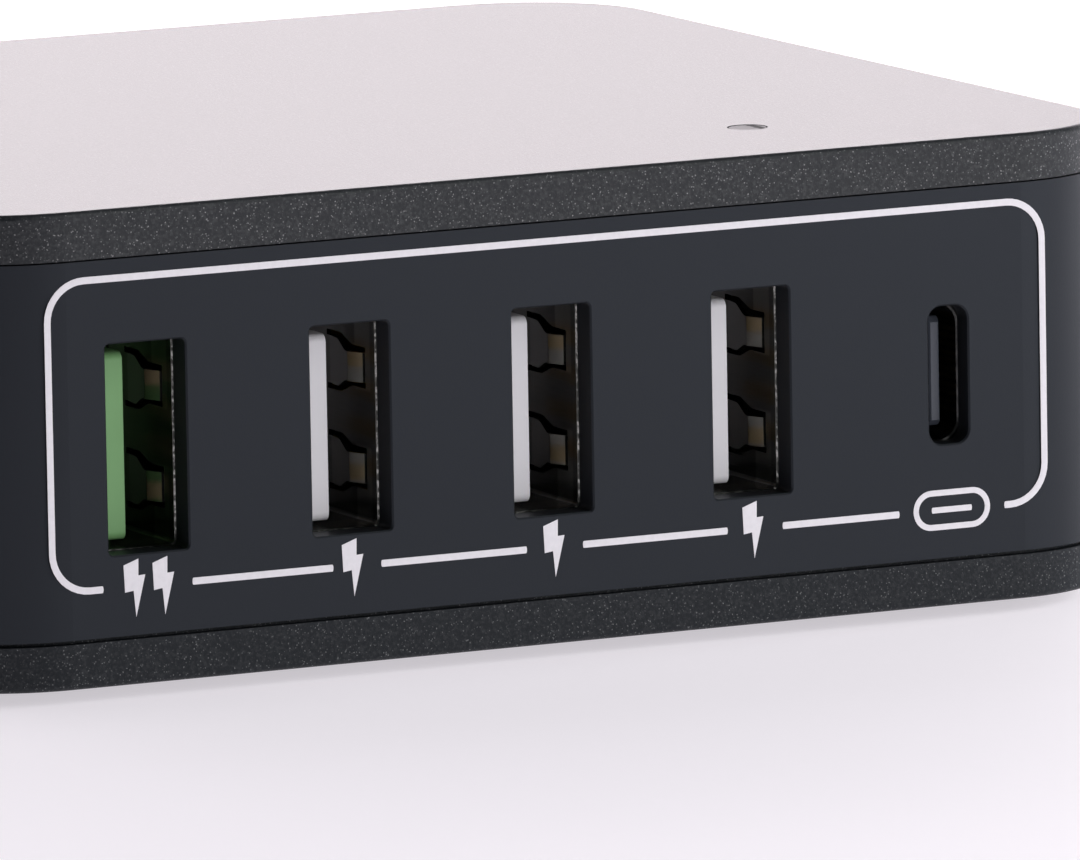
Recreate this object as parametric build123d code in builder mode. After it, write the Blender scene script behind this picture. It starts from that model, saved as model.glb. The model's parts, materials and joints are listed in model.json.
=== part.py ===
"""Desktop charger with four upright type-A ports and one upright type-C port.

The origin is on the table under the middle of the case, with +X to the right when the ports
are seen from the front, -Y out of the port side and +Z up. Sizes are in millimetres.
"""

import os

from build123d import *

os.makedirs("parts", exist_ok=True)

# Case
case_width = 82.0
case_depth = 77.0
case_height = 28.6
corner_radius = 9.0
cover_height = 3.0
wall = 1.8
edge_round = 0.35
upper_seam_gap = 0.1
lower_seam_gap = 0.25
seam_depth = 0.6
lip_height = 1.5
lip_thickness = 1.2
fit_clearance = 0.1

# Feet and case screws
foot_diameter = 8.0
foot_height = 0.8
foot_recess = 0.8
foot_bevel = 0.3
foot_from_side = 9.0
foot_from_front = 9.0
foot_from_back = 9.0
post_diameter = 6.4
post_gap = 0.5
screw_from_side = 9.0
screw_from_back = 17.5
screw_diameter = 2.4
screw_length = 12.0
screw_sink = 0.4
screw_head_diameter = 4.4
screw_head_height = 1.8
screw_clearance = 0.25
pilot_clearance = 0.03

# Ports
port_from_side = 14.1
port_level = 14.2
type_a_count = 4
lead_in = 0.1
mouth_bevel = 0.1

# Type-A receptacles
usb_a_width = 5.7
usb_a_height = 13.1
usb_a_length = 13.0
usb_a_corner = 0.6
usb_a_opening_clearance = 0.08
shell_sheet = 0.3
finger_spread = 6.1
finger_narrow = 1.8
finger_wide = 2.9
finger_slot = 0.35
finger_tip_gap = 0.2
finger_tip_lift = 0.05
window_front = 1.4
shoulder_front = 3.3
shoulder_length = 1.4
shoulder_round = 1.2
finger_root = 6.6
finger_flat = 0.4
finger_crest = 2.8
far_finger_bend = 0.5
near_finger_bend = 0.2
usb_a_base_depth = 4.0
tongue_thickness = 1.84
tongue_height = 11.3
tongue_gap = 0.47
tongue_drop = 0.25
tongue_setback = 1.0
tongue_nose_round = 0.5
contact_count = 4
contact_pitch = 2.3
contact_width = 1.0
contact_sheet = 0.3
contact_proud = 0.15
contact_setback = 1.2
contact_leg_width = 0.6
contact_leg_pitch = 0.9
contact_leg_gap = 0.4

# Type-C receptacle and its board
usb_c_width = 3.16
usb_c_height = 8.94
usb_c_length = 8.0
usb_c_opening_clearance = 0.07
usb_c_opening_corner = 0.9
usb_c_seat_depth = 0.4
usb_c_base_depth = 2.5
usb_c_tongue_thickness = 0.7
usb_c_tongue_height = 6.69
usb_c_tongue_setback = 0.45
usb_c_tongue_bevel = 0.1
usb_c_tongue_corner = 0.35
usb_c_contact_count = 12
usb_c_contact_pitch = 0.5
usb_c_contact_width = 0.25
usb_c_contact_sheet = 0.08
usb_c_contact_setback = 0.8
pd_board_thickness = 1.2
pd_board_length = 22.0
pd_board_height = 14.0
pd_board_setback = 0.5
pd_controller_side = 5.0
pd_controller_height = 0.9
pd_inductor_side = 6.5
pd_inductor_height = 3.0
pd_parts_level = 7.0
pd_parts_gap = 1.5

# Main board and what lies under it
board_thickness = 1.6
board_edge_gap = 0.5
insulation_thickness = 0.4

# Status light
lens_diameter = 2.3
lens_offset = 0.6
lens_from_front = 12.0
lens_recess = 0.02
lens_flange_diameter = 4.0
lens_flange_height = 0.8
led_width = 3.2
led_depth = 1.6
led_height = 1.1
led_gap = 0.3

# Mains inlet
inlet_width = 20.0
inlet_height = 11.5
inlet_depth = 12.0
inlet_corner = 1.0
inlet_face_recess = 0.2
inlet_socket_diameter = 7.0
inlet_socket_waist = 5.6
inlet_socket_depth = 9.5
inlet_ear_width = 1.5
inlet_ear_thickness = 1.2
inlet_pin_diameter = 2.4
inlet_pin_pitch = 8.6
inlet_pin_setback = 1.2
inlet_pin_bevel = 0.5
inlet_tail_length = 1.6
inlet_tail_thickness = 0.8
inlet_pin_clearance = 0.03

# Spacing of the parts on the main board
row_gap = 1.0
side_gap = 1.5

# Mains side parts
fuse_diameter = 8.0
fuse_height = 7.5
fuse_bevel = 0.5
x_capacitor_width = 13.0
x_capacitor_depth = 6.0
x_capacitor_height = 11.0
x_capacitor_bevel = 0.8
choke_outer_diameter = 11.0
choke_inner_diameter = 6.0
choke_core_height = 4.5
choke_wire = 0.8
choke_winding_angle = 130.0
choke_clearance = 0.05
rectifier_width = 15.0
rectifier_thickness = 3.5
rectifier_height = 10.0
rectifier_bevel = 2.0
rectifier_leg_count = 4
rectifier_leg_pitch = 3.8
bulk_capacitor_diameter = 12.0
bulk_capacitor_height = 15.0
bulk_capacitor_pitch = 13.5
capacitor_bevel = 0.6
capacitor_bead_depth = 0.4
capacitor_bead_level = 2.0
leg_width = 0.9
leg_thickness = 0.5
leg_length = 3.0

# Transformer
core_width = 20.0
core_depth = 9.0
core_height = 15.0
core_yoke = 2.5
core_leg = 6.0
core_side_leg = 2.8
bobbin_wall = 0.8
bobbin_flange = 0.8
bobbin_clearance = 0.1
winding_depth = 17.0
winding_corner = 1.5
winding_clearance = 0.1

# Heat sinks and their transistors
heat_sink_thickness = 2.0
heat_sink_length = 18.0
heat_sink_height = 14.0
heat_sink_fin_count = 4
heat_sink_fin_depth = 1.2
heat_sink_fin_width = 1.0
transistor_width = 10.0
transistor_thickness = 4.0
transistor_height = 9.0
transistor_leg_count = 3
transistor_leg_pitch = 2.5

# Low voltage parts
output_capacitor_count = 3
output_capacitor_diameter = 8.0
output_capacitor_height = 12.0
output_capacitor_pitch = 9.5
y_capacitor_diameter = 8.0
y_capacitor_thickness = 3.5
y_capacitor_bevel = 1.0
y_capacitor_leg_spread = 5.0
inductor_side = 9.0
inductor_height = 5.0
inductor_corner = 1.5
inductor_bevel = 0.4
inductor_pitch = 14.0
inductor_count = 2

# Levels and planes that follow from the sizes above
case_bottom = foot_height
case_top = case_bottom + case_height
lower_seam = case_bottom + cover_height
upper_seam = case_top - cover_height
floor_level = case_bottom + wall
ceiling_level = case_top - wall
front = -case_depth / 2
back = case_depth / 2
port_axis_level = case_bottom + port_level
board_top = port_axis_level - usb_a_height / 2
board_bottom = board_top - board_thickness
lip_inset = wall + fit_clearance
front_plane = Plane(origin=(0, front, port_axis_level), x_dir=(1, 0, 0), z_dir=(0, -1, 0))
back_plane = Plane(origin=(0, back, board_top + inlet_height / 2), x_dir=(-1, 0, 0), z_dir=(0, 1, 0))
port_pitch = (case_width - 2 * port_from_side) / type_a_count
port_places = [(index - type_a_count / 2) * port_pitch for index in range(type_a_count + 1)]
usb_a_places = port_places[:type_a_count]
usb_c_place = port_places[type_a_count]
foot_x = case_width / 2 - foot_from_side
foot_rows = (front + foot_from_front, back - foot_from_back)
foot_spots = [(x, y) for y in foot_rows for x in (-foot_x, foot_x)]
screw_x = case_width / 2 - screw_from_side
screw_rows = (front + wall + usb_a_length + post_gap + post_diameter / 2, back - screw_from_back)
screw_spots = [(x, y) for y in screw_rows for x in (-screw_x, screw_x)]
screw_seat = case_bottom + screw_sink + screw_head_height
lens_spot = ((usb_a_places[-1] + usb_c_place) / 2 - lens_offset, front + lens_from_front)


def case_outline(inset):
    """The case seen from above, drawn smaller by the inset on every side."""
    RectangleRounded(case_width - 2 * inset, case_depth - 2 * inset, corner_radius - inset)


def save(piece, name):
    """Labels a finished piece and writes its file."""
    piece.label = name
    export_step(piece, f"parts/{name}.step")


def save_copies(piece, name, spots):
    """Writes a numbered copy of a piece at each spot."""
    for number, spot in enumerate(spots, start=1):
        save(piece.moved(Location(spot)), f"{name}_{number}")


# Top cover: a shallow tray with a lip inside the frame and bosses down to the board
with BuildPart() as top_cover:
    with BuildSketch(Plane.XY.offset(upper_seam + upper_seam_gap)):
        case_outline(0)
    extrude(amount=cover_height - upper_seam_gap)
    fillet(top_cover.edges().group_by(Axis.Z)[-1], edge_round)
    with BuildSketch(Plane.XY.offset(upper_seam)):
        case_outline(seam_depth)
    extrude(amount=upper_seam_gap)
    with BuildSketch(Plane.XY.offset(upper_seam - lip_height)):
        case_outline(lip_inset)
    extrude(amount=lip_height)
    with BuildSketch(Plane.XY.offset(upper_seam - lip_height)):
        case_outline(lip_inset + lip_thickness)
    extrude(amount=ceiling_level - upper_seam + lip_height, mode=Mode.SUBTRACT)
    with BuildSketch(Plane.XY.offset(board_top)):
        with Locations(*screw_spots):
            Circle(post_diameter / 2)
    extrude(amount=ceiling_level - board_top)
    with BuildSketch(Plane.XY.offset(board_top)):
        with Locations(*screw_spots):
            Circle(screw_diameter / 2 + pilot_clearance)
    extrude(amount=screw_length, mode=Mode.SUBTRACT)
    with BuildSketch(Plane.XY.offset(ceiling_level)):
        with Locations(lens_spot):
            Circle(lens_diameter / 2 + fit_clearance)
    extrude(amount=wall, mode=Mode.SUBTRACT)
save(top_cover.part, "top_cover")

# Middle frame: the smooth band, with the port cut-outs in front and the inlet's behind
with BuildPart() as middle_frame:
    with BuildSketch(Plane.XY.offset(lower_seam)):
        case_outline(0)
        RectangleRounded(
            case_width - 2 * wall, case_depth - 2 * wall, corner_radius - wall, mode=Mode.SUBTRACT
        )
    extrude(amount=upper_seam - lower_seam)
    with BuildSketch(front_plane):
        with Locations(*[(place, 0) for place in usb_a_places]):
            RectangleRounded(
                usb_a_width - 2 * shell_sheet + 2 * usb_a_opening_clearance,
                usb_a_height - 2 * shell_sheet + 2 * usb_a_opening_clearance,
                usb_a_corner - shell_sheet,
            )
        with Locations((usb_c_place, 0)):
            RectangleRounded(
                usb_c_width - 2 * shell_sheet + 2 * usb_c_opening_clearance,
                usb_c_height - 2 * shell_sheet + 2 * usb_c_opening_clearance,
                usb_c_opening_corner,
            )
    extrude(amount=-wall, mode=Mode.SUBTRACT)
    port_edges = [wire.edges() for wire in middle_frame.faces().sort_by(Axis.Y)[0].inner_wires()]
    chamfer([edge for edges in port_edges for edge in edges], lead_in)
    with BuildSketch(front_plane.offset(-wall)):
        with Locations((usb_c_place, 0)):
            SlotOverall(usb_c_height + 2 * fit_clearance, usb_c_width + 2 * fit_clearance, rotation=90)
    extrude(amount=usb_c_seat_depth, mode=Mode.SUBTRACT)
    with BuildSketch(back_plane):
        RectangleRounded(
            inlet_width + 2 * fit_clearance, inlet_height + 2 * fit_clearance, inlet_corner + fit_clearance
        )
    extrude(amount=-wall, mode=Mode.SUBTRACT)
save(middle_frame.part, "middle_frame")

# Bottom cover: a tray with a lip, posts under the board, foot recesses and screw holes
with BuildPart() as bottom_cover:
    with BuildSketch(Plane.XY.offset(case_bottom)):
        case_outline(0)
    extrude(amount=cover_height - lower_seam_gap)
    fillet(bottom_cover.edges().group_by(Axis.Z)[0], edge_round)
    with BuildSketch(Plane.XY.offset(lower_seam - lower_seam_gap)):
        case_outline(seam_depth)
    extrude(amount=lower_seam_gap)
    with BuildSketch(Plane.XY.offset(lower_seam)):
        case_outline(lip_inset)
    extrude(amount=lip_height)
    with BuildSketch(Plane.XY.offset(floor_level)):
        case_outline(lip_inset + lip_thickness)
    extrude(amount=lower_seam + lip_height - floor_level, mode=Mode.SUBTRACT)
    with BuildSketch(Plane.XY.offset(floor_level)):
        with Locations(*screw_spots):
            Circle(post_diameter / 2)
    extrude(amount=board_bottom - floor_level)
    with BuildSketch(Plane.XY.offset(case_bottom)):
        with Locations(*foot_spots):
            Circle(foot_diameter / 2 + fit_clearance)
    extrude(amount=foot_recess, mode=Mode.SUBTRACT)
    with Locations(*[Location((x, y, case_bottom), (180, 0, 0)) for x, y in screw_spots]):
        CounterBoreHole(
            radius=screw_diameter / 2 + screw_clearance,
            counter_bore_radius=screw_head_diameter / 2 + screw_clearance,
            counter_bore_depth=screw_seat - case_bottom,
            depth=board_bottom - case_bottom,
        )
save(bottom_cover.part, "bottom_cover")

# Rubber feet, pressed into their recesses
with BuildPart() as rubber_foot:
    with BuildSketch(Plane.XY):
        Circle(foot_diameter / 2)
    extrude(amount=foot_height + foot_recess)
    chamfer(rubber_foot.edges().group_by(Axis.Z)[0], foot_bevel)
save_copies(rubber_foot.part, "rubber_foot", [(x, y, 0) for x, y in foot_spots])

# Case screws: flat heads in the bottom cover, shanks through the board into the bosses
with BuildPart() as case_screws:
    with BuildSketch(Plane.XY.offset(screw_seat - screw_head_height)):
        with Locations(*screw_spots):
            Circle(screw_head_diameter / 2)
    extrude(amount=screw_head_height)
    with BuildSketch(Plane.XY.offset(screw_seat)):
        with Locations(*screw_spots):
            Circle(screw_diameter / 2)
    extrude(amount=screw_length)
save(case_screws.part, "case_screws")

# Main board, clamped between the posts and the bosses
with BuildPart() as main_board:
    with BuildSketch(Plane.XY.offset(board_bottom)):
        case_outline(wall + board_edge_gap)
        with Locations(*screw_spots):
            Circle(screw_diameter / 2 + screw_clearance, mode=Mode.SUBTRACT)
    extrude(amount=board_thickness)
save(main_board.part, "main_board")

# Insulation sheet on the floor, with holes round the posts
with BuildPart() as insulation_sheet:
    with BuildSketch(Plane.XY.offset(floor_level)):
        case_outline(lip_inset + lip_thickness + board_edge_gap)
        with Locations(*screw_spots):
            Circle(post_diameter / 2 + screw_clearance, mode=Mode.SUBTRACT)
    extrude(amount=insulation_thickness)
save(insulation_sheet.part, "insulation_sheet")

# Light pipe from the status light up to the top face, held by its flange
with BuildPart() as led_lens:
    with BuildSketch(Plane.XY.offset(board_top + led_height + led_gap)):
        with Locations(lens_spot):
            Circle(lens_diameter / 2)
    extrude(amount=case_top - lens_recess - board_top - led_height - led_gap)
    with BuildSketch(Plane.XY.offset(ceiling_level)):
        with Locations(lens_spot):
            Circle(lens_flange_diameter / 2)
    extrude(amount=-lens_flange_height)
save(led_lens.part, "led_lens")

with BuildPart() as status_led:
    with BuildSketch(Plane.XY.offset(board_top)):
        with Locations(lens_spot):
            Rectangle(led_width, led_depth)
    extrude(amount=led_height)
save(status_led.part, "status_led")


def stamped_outline(start, narrow, wide):
    """A finger or its window in the shell's broad wall: narrow in front, wider at the root."""
    upper = [
        (start, narrow / 2),
        (shoulder_front, narrow / 2),
        (shoulder_front + shoulder_length, wide / 2),
        (finger_root, wide / 2),
    ]
    lower = [(along, -across) for along, across in reversed(upper)]
    Polygon(*upper, *lower, align=None)


def shoulder_corners(outline):
    """The corners where a stamped outline starts and stops widening."""
    corners = outline.sketch_local.vertices().group_by(Axis.X)
    return corners[1] + corners[2]


def spring_finger(bend):
    """One finger bent inwards, with x from 0 on the sheet's outer face and y from the shell's front."""
    tip = window_front + finger_tip_gap
    with BuildPart() as finger:
        with BuildSketch(Plane.XY):
            with BuildLine() as strip:
                Polyline(
                    (0, finger_root),
                    (0, finger_root - finger_flat),
                    (bend, finger_crest),
                    (finger_tip_lift, tip),
                )
                offset(strip.line, amount=shell_sheet, side=Side.LEFT)
            make_face()
        extrude(amount=finger_wide / 2, both=True)
        with BuildSketch(Plane.YZ) as blank:
            stamped_outline(tip, finger_narrow, finger_wide)
            fillet(shoulder_corners(blank), shoulder_round)
        extrude(amount=usb_a_width, both=True, mode=Mode.INTERSECT)
    return finger.part


# Type-A shell: a folded tube with two spring fingers in each broad wall
with BuildPart() as usb_a_shell:
    with BuildSketch(Plane.XZ):
        RectangleRounded(usb_a_width, usb_a_height, usb_a_corner)
        RectangleRounded(
            usb_a_width - 2 * shell_sheet,
            usb_a_height - 2 * shell_sheet,
            usb_a_corner - shell_sheet,
            mode=Mode.SUBTRACT,
        )
    extrude(amount=-usb_a_length)
    chamfer(usb_a_shell.faces().sort_by(Axis.Y)[0].inner_wires()[0].edges(), mouth_bevel)
    with BuildSketch(Plane.YZ) as windows:
        with Locations((0, finger_spread / 2), (0, -finger_spread / 2)):
            stamped_outline(window_front, finger_narrow + 2 * finger_slot, finger_wide + 2 * finger_slot)
        fillet(shoulder_corners(windows), shoulder_round)
    extrude(amount=usb_a_width, both=True, mode=Mode.SUBTRACT)
    for level in (finger_spread / 2, -finger_spread / 2):
        with Locations(Location((usb_a_width / 2, 0, level), (0, 180, 0))):
            add(spring_finger(far_finger_bend))
        with Locations(Location((-usb_a_width / 2, 0, level))):
            add(spring_finger(near_finger_bend))

# Type-A contacts: strips in the tongue's free face, with legs stepped down to the board
tongue_face = -usb_a_width / 2 + shell_sheet + tongue_gap + tongue_thickness
contact_seat = tongue_face + contact_proud - contact_sheet
contact_rows = range(contact_count)
contact_levels = [(row - (contact_count - 1) / 2) * contact_pitch - tongue_drop for row in contact_rows]
first_leg = usb_a_length + contact_leg_gap + contact_leg_width / 2
with BuildPart() as usb_a_contacts:
    with BuildSketch(Plane.YZ.offset(contact_seat)):
        for row, level in enumerate(contact_levels):
            leg = first_leg + row * contact_leg_pitch
            leg_top = level + contact_width / 2
            with Locations((leg + contact_leg_width / 2, level)):
                Rectangle(
                    leg + contact_leg_width / 2 - tongue_setback - contact_setback,
                    contact_width,
                    align=(Align.MAX, Align.CENTER),
                )
            with Locations((leg, leg_top)):
                Rectangle(
                    contact_leg_width, leg_top + usb_a_height / 2, align=(Align.CENTER, Align.MAX)
                )
    extrude(amount=contact_sheet)

# Type-A tongue with its rear block, grooved for the contacts
block_front = usb_a_length - usb_a_base_depth
with BuildPart() as usb_a_tongue:
    with BuildSketch(Plane.XZ.offset(-block_front)):
        block = Rectangle(
            usb_a_width - 2 * shell_sheet - 2 * usb_a_opening_clearance,
            usb_a_height - 2 * shell_sheet - 2 * usb_a_opening_clearance,
        )
        chamfer(block.vertices(), usb_a_corner - shell_sheet)
    extrude(amount=-usb_a_base_depth)
    with BuildSketch(Plane.XZ.offset(-tongue_setback)):
        with Locations((tongue_face, -tongue_drop)):
            Rectangle(tongue_thickness, tongue_height, align=(Align.MAX, Align.CENTER))
    extrude(amount=tongue_setback - block_front)
    nose = usb_a_tongue.faces().sort_by(Axis.Y)[0]
    fillet(nose.edges().filter_by(Axis.X), tongue_nose_round)
    with BuildSketch(Plane.XZ.offset(-tongue_setback - contact_setback)):
        with Locations(*[(contact_seat, level) for level in contact_levels]):
            Rectangle(contact_sheet, contact_width, align=(Align.MIN, Align.CENTER))
    extrude(amount=tongue_setback + contact_setback - usb_a_length, mode=Mode.SUBTRACT)

usb_a_spots = [(place, front + wall, port_axis_level) for place in usb_a_places]
save_copies(usb_a_shell.part, "usb_a_shell", usb_a_spots)
save_copies(usb_a_tongue.part, "usb_a_tongue", usb_a_spots)
save_copies(usb_a_contacts.part, "usb_a_contacts", usb_a_spots)

# Type-C receptacle, its shell seated in a pocket behind the panel
usb_c_front = front + wall - usb_c_seat_depth
usb_c_plane = Plane(origin=(usb_c_place, usb_c_front, port_axis_level), x_dir=(1, 0, 0), z_dir=(0, -1, 0))
usb_c_block_front = usb_c_length - usb_c_base_depth
with BuildPart() as usb_c_shell:
    with BuildSketch(usb_c_plane):
        SlotOverall(usb_c_height, usb_c_width, rotation=90)
        SlotOverall(
            usb_c_height - 2 * shell_sheet, usb_c_width - 2 * shell_sheet, rotation=90, mode=Mode.SUBTRACT
        )
    extrude(amount=-usb_c_length)
    chamfer(usb_c_shell.faces().sort_by(Axis.Y)[0].inner_wires()[0].edges(), mouth_bevel)
save(usb_c_shell.part, "usb_c_shell")

with BuildPart() as usb_c_tongue:
    with BuildSketch(usb_c_plane.offset(-usb_c_block_front)):
        SlotOverall(
            usb_c_height - 2 * shell_sheet - 2 * usb_c_opening_clearance,
            usb_c_width - 2 * shell_sheet - 2 * usb_c_opening_clearance,
            rotation=90,
        )
    extrude(amount=-usb_c_base_depth)
    with BuildSketch(usb_c_plane.offset(-usb_c_tongue_setback)):
        Rectangle(usb_c_tongue_thickness, usb_c_tongue_height)
    extrude(amount=usb_c_tongue_setback - usb_c_block_front)
    chamfer(usb_c_tongue.faces().sort_by(Axis.Y)[0].edges().filter_by(Axis.X), usb_c_tongue_corner)
    chamfer(usb_c_tongue.faces().sort_by(Axis.Y)[0].edges().filter_by(Axis.Z), usb_c_tongue_bevel)
save(usb_c_tongue.part, "usb_c_tongue")

with BuildPart() as usb_c_contacts:
    with BuildSketch(usb_c_plane.offset(-usb_c_tongue_setback - usb_c_contact_setback)):
        with GridLocations(
            usb_c_tongue_thickness + usb_c_contact_sheet, usb_c_contact_pitch, 2, usb_c_contact_count
        ):
            Rectangle(usb_c_contact_sheet, usb_c_contact_width)
    extrude(amount=usb_c_tongue_setback + usb_c_contact_setback - usb_c_block_front)
save(usb_c_contacts.part, "usb_c_contacts")

# Upright board that carries the type-C receptacle, with its parts on the other face
pd_board_right = usb_c_place - usb_c_width / 2
pd_board_left = pd_board_right - pd_board_thickness
pd_board_front = front + wall + pd_board_setback
pd_inductor_y = pd_board_front + pd_board_length - pd_parts_gap - pd_inductor_side / 2
pd_controller_y = pd_inductor_y - pd_inductor_side / 2 - pd_parts_gap - pd_controller_side / 2
with BuildPart() as pd_board:
    with BuildSketch(Plane.YZ.offset(pd_board_left)):
        with Locations((pd_board_front, board_top)):
            Rectangle(pd_board_length, pd_board_height, align=(Align.MIN, Align.MIN))
    extrude(amount=pd_board_thickness)
save(pd_board.part, "pd_board")

with BuildPart() as pd_controller:
    with BuildSketch(Plane.YZ.offset(pd_board_left)):
        with Locations((pd_controller_y, board_top + pd_parts_level)):
            Rectangle(pd_controller_side, pd_controller_side)
    extrude(amount=-pd_controller_height)
save(pd_controller.part, "pd_controller")

with BuildPart() as pd_inductor:
    with BuildSketch(Plane.YZ.offset(pd_board_left)):
        with Locations((pd_inductor_y, board_top + pd_parts_level)):
            pd_inductor_outline = Rectangle(pd_inductor_side, pd_inductor_side)
        chamfer(pd_inductor_outline.vertices(), inductor_corner)
    extrude(amount=-pd_inductor_height)
    chamfer(pd_inductor.faces().sort_by(Axis.X)[0].edges(), inductor_bevel)
save(pd_inductor.part, "pd_inductor")

# Mains inlet: a figure-eight socket through the back of the frame, with ears behind the wall
inlet_face = back_plane.offset(-inlet_face_recess)
pin_spots = [(-inlet_pin_pitch / 2, 0), (inlet_pin_pitch / 2, 0)]
with BuildPart() as ac_inlet:
    with BuildSketch(inlet_face):
        RectangleRounded(inlet_width, inlet_height, inlet_corner)
    extrude(amount=-inlet_depth)
    with BuildSketch(back_plane.offset(-wall)):
        Rectangle(inlet_width + 2 * inlet_ear_width, inlet_height - 2 * inlet_corner)
    extrude(amount=-inlet_ear_thickness)
    with BuildSketch(inlet_face):
        with Locations(*pin_spots):
            Circle(inlet_socket_diameter / 2)
        Rectangle(inlet_pin_pitch, inlet_socket_waist)
    extrude(amount=-inlet_socket_depth, mode=Mode.SUBTRACT)
    with BuildSketch(inlet_face):
        with Locations(*pin_spots):
            Circle(inlet_pin_diameter / 2 + inlet_pin_clearance)
    extrude(amount=-inlet_depth, mode=Mode.SUBTRACT)
save(ac_inlet.part, "ac_inlet")

inlet_tail_top = inlet_pin_diameter / 2
with BuildPart() as inlet_pins:
    with BuildSketch(inlet_face.offset(-inlet_pin_setback)):
        with Locations(*pin_spots):
            Circle(inlet_pin_diameter / 2)
    extrude(amount=inlet_pin_setback - inlet_depth - inlet_tail_length)
    chamfer(inlet_pins.edges().group_by(Axis.Y)[-1], inlet_pin_bevel)
    with BuildSketch(inlet_face.offset(-inlet_depth - inlet_tail_length + inlet_tail_thickness)):
        with Locations(*[(across, inlet_tail_top) for across, level in pin_spots]):
            Rectangle(
                inlet_pin_diameter, inlet_tail_top + inlet_height / 2, align=(Align.CENTER, Align.MAX)
            )
    extrude(amount=-inlet_tail_thickness)
save(inlet_pins.part, "inlet_pins")

# Rows of parts on the main board, from the receptacles' legs to the back of the board
board_back = back - wall - board_edge_gap
legs_end = front + wall + first_leg + (contact_count - 1) * contact_leg_pitch + contact_leg_width / 2
inductor_row = legs_end + row_gap + inductor_side / 2
transformer_row = inductor_row + inductor_side / 2 + row_gap + winding_depth / 2
rectifier_row = transformer_row + winding_depth / 2 + row_gap + rectifier_thickness / 2
heat_sink_x = core_width / 2 + row_gap + transistor_thickness + heat_sink_thickness / 2
heat_sink_outside = heat_sink_x + heat_sink_thickness / 2 + heat_sink_fin_depth
board_plane = Plane.XY.offset(board_top)

inductor_spots = [
    ((index - (inductor_count - 1) / 2) * inductor_pitch, inductor_row, board_top)
    for index in range(inductor_count)
]
with BuildPart() as buck_inductor:
    with BuildSketch(Plane.XY):
        buck_inductor_outline = Rectangle(inductor_side, inductor_side)
        chamfer(buck_inductor_outline.vertices(), inductor_corner)
    extrude(amount=inductor_height)
    chamfer(buck_inductor.faces().sort_by(Axis.Z)[-1].edges(), inductor_bevel)
save_copies(buck_inductor.part, "buck_inductor", inductor_spots)

# Transformer: closed double-E core, bobbin on its middle leg and the winding between the flanges
core_plane = Plane(origin=(0, transformer_row, board_top), x_dir=(1, 0, 0), z_dir=(0, -1, 0))
window_height = core_height - 2 * core_yoke
window_width = core_width / 2 - core_side_leg - core_leg / 2
window_middle = core_leg / 2 + window_width / 2
with BuildPart() as transformer_core:
    with BuildSketch(core_plane):
        Rectangle(core_width, core_height, align=(Align.CENTER, Align.MIN))
        with Locations((-window_middle, core_height / 2), (window_middle, core_height / 2)):
            Rectangle(window_width, window_height, mode=Mode.SUBTRACT)
    extrude(amount=core_depth / 2, both=True)
save(transformer_core.part, "transformer_core")

tube_inside_width = core_leg + 2 * bobbin_clearance
tube_inside_depth = core_depth + 2 * bobbin_clearance
winding_width = core_width - 2 * core_side_leg - 2 * winding_clearance
bobbin_bottom = board_top + core_yoke + bobbin_clearance
bobbin_top = board_top + core_height - core_yoke - bobbin_clearance
with BuildPart() as transformer_bobbin:
    with BuildSketch(Plane.XY.offset(bobbin_bottom)):
        with Locations((0, transformer_row)):
            Rectangle(tube_inside_width + 2 * bobbin_wall, tube_inside_depth + 2 * bobbin_wall)
    extrude(amount=bobbin_top - bobbin_bottom)
    for flange_level in (bobbin_bottom, bobbin_top - bobbin_flange):
        with BuildSketch(Plane.XY.offset(flange_level)):
            with Locations((0, transformer_row)):
                Rectangle(winding_width, winding_depth)
        extrude(amount=bobbin_flange)
    with BuildSketch(Plane.XY.offset(bobbin_bottom)):
        with Locations((0, transformer_row)):
            Rectangle(tube_inside_width, tube_inside_depth)
    extrude(amount=bobbin_top - bobbin_bottom, mode=Mode.SUBTRACT)
save(transformer_bobbin.part, "transformer_bobbin")

with BuildPart() as transformer_winding:
    with BuildSketch(Plane.XY.offset(bobbin_bottom + bobbin_flange)):
        with Locations((0, transformer_row)):
            RectangleRounded(winding_width, winding_depth, winding_corner)
            Rectangle(
                tube_inside_width + 2 * bobbin_wall, tube_inside_depth + 2 * bobbin_wall, mode=Mode.SUBTRACT
            )
    extrude(amount=bobbin_top - bobbin_bottom - 2 * bobbin_flange)
save(transformer_winding.part, "transformer_winding")

# Heat sinks beside the transformer, with fins outside and a transistor inside
fin_pitch = (heat_sink_length - heat_sink_fin_width) / (heat_sink_fin_count - 1)
with BuildPart() as heat_sink:
    with BuildSketch(board_plane):
        with Locations((heat_sink_x, transformer_row)):
            Rectangle(heat_sink_thickness, heat_sink_length)
        with Locations((heat_sink_outside - heat_sink_fin_depth / 2, transformer_row)):
            with GridLocations(0, fin_pitch, 1, heat_sink_fin_count):
                Rectangle(heat_sink_fin_depth, heat_sink_fin_width)
    extrude(amount=heat_sink_height)
save(heat_sink.part, "primary_heat_sink")
save(heat_sink.part.mirror(Plane.YZ), "secondary_heat_sink")

transistor_back = heat_sink_x - heat_sink_thickness / 2
with BuildPart() as transistor:
    with BuildSketch(Plane.YZ.offset(transistor_back)):
        with Locations((transformer_row, board_top + leg_length)):
            Rectangle(transistor_width, transistor_height, align=(Align.CENTER, Align.MIN))
    extrude(amount=-transistor_thickness)
    with BuildSketch(board_plane):
        with Locations((transistor_back - transistor_thickness / 2, transformer_row)):
            with GridLocations(0, transistor_leg_pitch, 1, transistor_leg_count):
                Rectangle(leg_thickness, leg_width)
    extrude(amount=leg_length)
save(transistor.part, "primary_transistor")
save(transistor.part.mirror(Plane.YZ), "secondary_transistor")


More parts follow.
